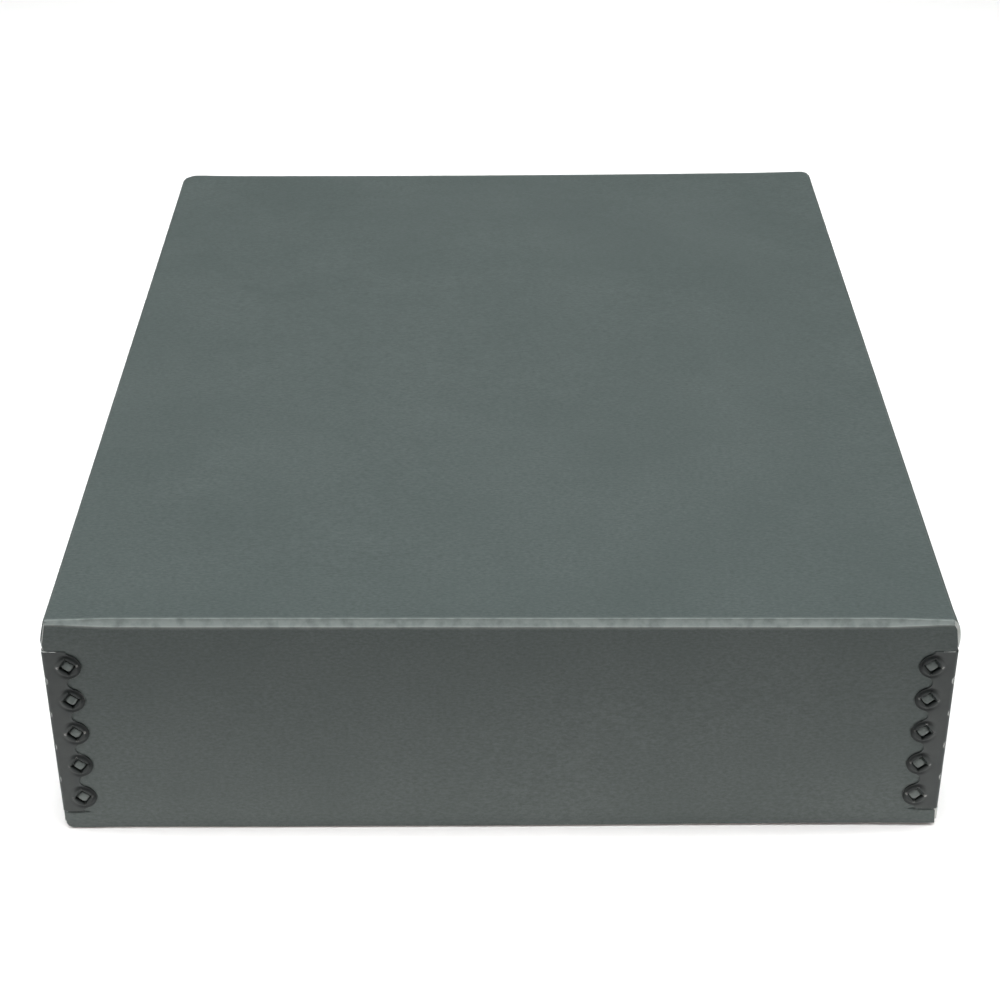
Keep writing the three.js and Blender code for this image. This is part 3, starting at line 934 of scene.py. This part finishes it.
def board_looks():
    """Grey board: clouds, mottle and fibre, lighter where it is cut, and lighter along the folds
    and in the prong holes, partly by wear and partly by painted highlight.
    """
    n = Nodes("grey_board")
    cloud = n.ranged(n.noise(22.0, 4.0, 0.6), 0.35, 0.65)
    mottle = n.ranged(n.noise(170.0, 4.0, 0.65), 0.3, 0.7)
    fibre = n.ranged(n.noise(1300.0, 3.0, 0.7, (0.5, 1.0, 1.0)), 0.3, 0.7)
    face = n.mix(cloud, rgb(0.061, 0.073, 0.07), rgb(0.073, 0.085, 0.082))
    face = n.mix(n.math("MULTIPLY", mottle, 0.45), face, rgb(0.075, 0.086, 0.083))
    face = n.mix(n.math("MULTIPLY", fibre, 0.8), face, rgb(0.042, 0.05, 0.048))
    # Wear and painted highlight: lighter along the folds, and a painted highlight in the prong
    # holes.
    wear_and_highlight = n.attribute("wear_and_highlight")
    wear_and_highlight = n.math("MULTIPLY", wear_and_highlight, n.ranged(n.noise(260.0, 3.0), 0.3, 0.6, 0.45, 1.0))
    face = n.mix(wear_and_highlight, face, rgb(0.2, 0.215, 0.205))
    layers = n.ranged(n.noise(2200.0, 2.0, 0.6, (1.0, 1.0, 0.15)), 0.3, 0.7)
    core = n.mix(layers, rgb(0.36, 0.365, 0.35), rgb(0.54, 0.545, 0.53))
    cut = n.ranged(n.attribute("cut"), 0.25, 0.7)
    n.set(n.shader.inputs["Base Color"], n.mix(cut, face, core))
    n.set(n.shader.inputs["Roughness"], n.ranged(mottle, 0.0, 1.0, 0.6, 0.72))
    n.shader.inputs["Specular IOR Level"].default_value = 0.2
    coarse = n.bump(n.noise(330.0, 3.0, 0.6), 0.00006)
    n.set(n.shader.inputs["Normal"], n.bump(n.noise(1900.0, 3.0, 0.7), 0.00002, coarse))
    return n.material


def stay_looks():
    """Dark satin paint on metal, with painted shade in the lobes' hollows, and worn off at some
    edges.
    """
    n = Nodes("painted_stay")
    cloud = n.ranged(n.noise(180.0, 4.0, 0.6), 0.3, 0.7)
    paint = n.mix(cloud, rgb(0.024, 0.028, 0.0275), rgb(0.033, 0.0375, 0.0365))
    # Painted shade in the lobes' hollows and prong holes: the paint is darkened there.
    paint = n.mix(n.math("MULTIPLY", n.attribute("painted_shade"), 0.85), paint, rgb(0.009, 0.0098, 0.0098))
    worn = n.ranged(n.noise(90.0, 3.0), 0.55, 0.72, 0.0, 0.6)
    worn = n.math("MULTIPLY", n.ranged(n.attribute("cut"), 0.3, 0.8), worn)
    chips = n.ranged(n.noise(900.0, 2.0), 0.35, 0.5, 0.4, 1.0)
    worn = n.math("MAXIMUM", worn, n.math("MULTIPLY", n.attribute("bare"), chips))
    n.set(n.shader.inputs["Base Color"], n.mix(worn, paint, rgb(0.6, 0.6, 0.58)))
    n.set(n.shader.inputs["Metallic"], n.math("MULTIPLY", worn, 0.4))
    n.set(n.shader.inputs["Roughness"], n.ranged(cloud, 0.0, 1.0, 0.36, 0.46))
    # Less sheen where the painted shade lies.
    n.set(n.shader.inputs["Specular IOR Level"], n.ranged(n.attribute("painted_shade"), 0.0, 1.0, 0.25, 0.02))
    n.set(n.shader.inputs["Normal"], n.bump(n.noise(1100.0, 3.0, 0.6), 0.00002))
    return n.material


GLOW_SCALE = 0.4  # the gradient falls from 1 to 0 over a metre divided by this
GLOW_FROM, GLOW_FULL = 0.75, 1.25  # in metres from the box's middle


def floor_looks():
    """A pale floor, which glows far from the box, where the lamps don't reach."""
    n = Nodes("pale_floor")
    at = n.add("ShaderNodeTexCoord").outputs["Object"]
    at = n.add("ShaderNodeMapping", Vector=at, Scale=(GLOW_SCALE,) * 3).outputs["Vector"]
    near = n.add("ShaderNodeTexGradient", {"gradient_type": "SPHERICAL"}, Vector=at).outputs["Fac"]
    glow = n.ranged(near, 1 - GLOW_SCALE * GLOW_FULL, 1 - GLOW_SCALE * GLOW_FROM, 0.95, 0.0)
    n.shader.inputs["Emission Color"].default_value = rgb(1.0, 0.97, 0.96)
    n.set(n.shader.inputs["Emission Strength"], glow)
    tint = n.mix(n.noise(3.0, 2.0), rgb(0.91, 0.865, 0.86), rgb(0.93, 0.88, 0.875))
    n.set(n.shader.inputs["Base Color"], tint)
    n.shader.inputs["Roughness"].default_value = 0.9
    n.shader.inputs["Specular IOR Level"].default_value = 0.1
    return n.material


# ---------------------------------------------------------------- the box

board_finish, stay_finish = board_looks(), stay_looks()

lid = Blank(
    "lid_board",
    up=-1,
    seed=11,
    steps={FRONT_LEFT: 0.45, FRONT_RIGHT: 0.15, BACK_LEFT: 0.9, BACK_RIGHT: 0.6},
    rounds={FRONT_LEFT: 2.4, FRONT_RIGHT: 0.3, BACK_LEFT: 1.2, BACK_RIGHT: 1.6},
    crush={FRONT_LEFT: 0.7, FRONT_RIGHT: 1.4, BACK_LEFT: 2.6, BACK_RIGHT: 1.8},
    flares={
        FRONT_LEFT: (0.35, 1.3, 0.72, 0.1, 0.7),
        FRONT_RIGHT: (0.9, 1.3, 0.45, 0.8, 1.7),
        BACK_LEFT: (0.2, 0.7, 0.2, 0.1, 0.5),
        BACK_RIGHT: (0.3, 0.8, 0.3, 0.1, 0.5),
    },
    longer=0.35,
    uneven={FRONT_LEFT: 0.1, FRONT_RIGHT: -0.5, BACK_LEFT: -0.2, BACK_RIGHT: -0.5},
    dark_ends=[FRONT_LEFT],
    bare_edges={FRONT_LEFT: [(-1, -0.6, 3.5)], FRONT_RIGHT: [(-1, -3.4, -1.0), (1, -5.5, -0.8)]},
    shorter={FRONT_RIGHT: 0.65},
    askew=(-1.2, -0.5, 2.3),
    tuck=1.4,
    pinch=(0.25, 0.5),
    sag=0.25,
)
tray = Blank(
    "tray_board",
    up=1,
    seed=37,
    steps={FRONT_LEFT: 1.0, FRONT_RIGHT: 0.7, BACK_LEFT: 0.6, BACK_RIGHT: 1.1},
    rounds={FRONT_LEFT: 1.0, FRONT_RIGHT: 1.5, BACK_LEFT: 1.2, BACK_RIGHT: 0.9},
    crush=dict.fromkeys(CORNERS, 1.0),
    flares=dict.fromkeys(CORNERS, (0.1, 0.3, 0.1, 0.1, 0.3)),
    longer=0.0,
    uneven={FRONT_LEFT: 0.0, FRONT_RIGHT: -0.2, BACK_LEFT: -0.1, BACK_RIGHT: 0.0},
    dark_ends=[],
    bare_edges={},
    shorter={},
    askew=(-0.7, -0.3, 1.0),
    tuck=1.2,
    pinch=(0.1, 0.1),
    sag=0.7,
)
lid.made("lid_board_folded", "lid", "lid_board", board_finish)
tray.made("tray_board_folded", "tray", "tray_board", board_finish)
make_stays(lid, "lid", "lid", stay_finish)
make_stays(tray, "tray", "tray", stay_finish)


# ---------------------------------------------------------------- floor and light

FLOOR_HALF = 30.0
FLOOR_GAP = 0.0001  # below the box
floor_mesh = bpy.data.meshes.new("floor")
floor_corners = [
    (FLOOR_HALF * x, FLOOR_HALF * y, 0.0)
    for x, y in (FRONT_LEFT, FRONT_RIGHT, BACK_RIGHT, BACK_LEFT)
]
floor_mesh.from_pydata(floor_corners, [], [(0, 1, 2, 3)])
floor_mesh.materials.append(floor_looks())
floor = bpy.data.objects.new("floor", floor_mesh)
floor.location.z = cad_box[0][2] - FLOOR_GAP
bpy.context.scene.collection.objects.link(floor)


def area_light(name, place, target, width, height, power, colour, spread):
    """A rectangular lamp at a place, turned to a target, with its spread in degrees."""
    data = bpy.data.lights.new(name, "AREA")
    data.shape = "RECTANGLE"
    data.size, data.size_y = width, height
    data.energy = power
    data.color = colour
    data.spread = math.radians(spread)
    made = bpy.data.objects.new(name, data)
    made.location = place
    made.rotation_euler = (Vector(target) - Vector(place)).to_track_quat("-Z", "Y").to_euler()
    bpy.context.scene.collection.objects.link(made)
    return made


COOL, WARM = (0.94, 1.0, 1.0), (1.0, 0.95, 0.93)
FRONT_Y = -0.178
area_light("overhead", (0.0, 0.1, 2.0), (0.0, 0.1, 0.0), 1.5, 1.7, 12.1, COOL, 66.0)
for name, x in (("side_left", -1.4), ("side_right", 1.4)):
    area_light(name, (x, -0.1, 1.5), (0.0, -0.1, 0.0), 0.6, 1.3, 2.2, COOL, 60.0)
# The light that the floor throws onto the foot of the front wall.
for name, gap, z, width, height, power in (
    ("low_front", 0.06, 0.008, 0.7, 0.014, 0.112),
    ("low_near", 0.013, 0.0015, 0.34, 0.002, 0.0095),
):
    place, target = (0.0, FRONT_Y - gap, z), (0.0, FRONT_Y, z)
    low = area_light(name, place, target, width, height, power, WARM, 180.0)
    low.visible_camera = False
    low.visible_glossy = False

world = bpy.data.worlds.new("studio")
world.use_nodes = True
background = world.node_tree.nodes["Background"]
background.inputs["Color"].default_value = rgb(1.0, 1.0, 1.0)
background.inputs["Strength"].default_value = 0.12
bpy.context.scene.world = world
bpy.context.scene.view_settings.view_transform = "Standard"
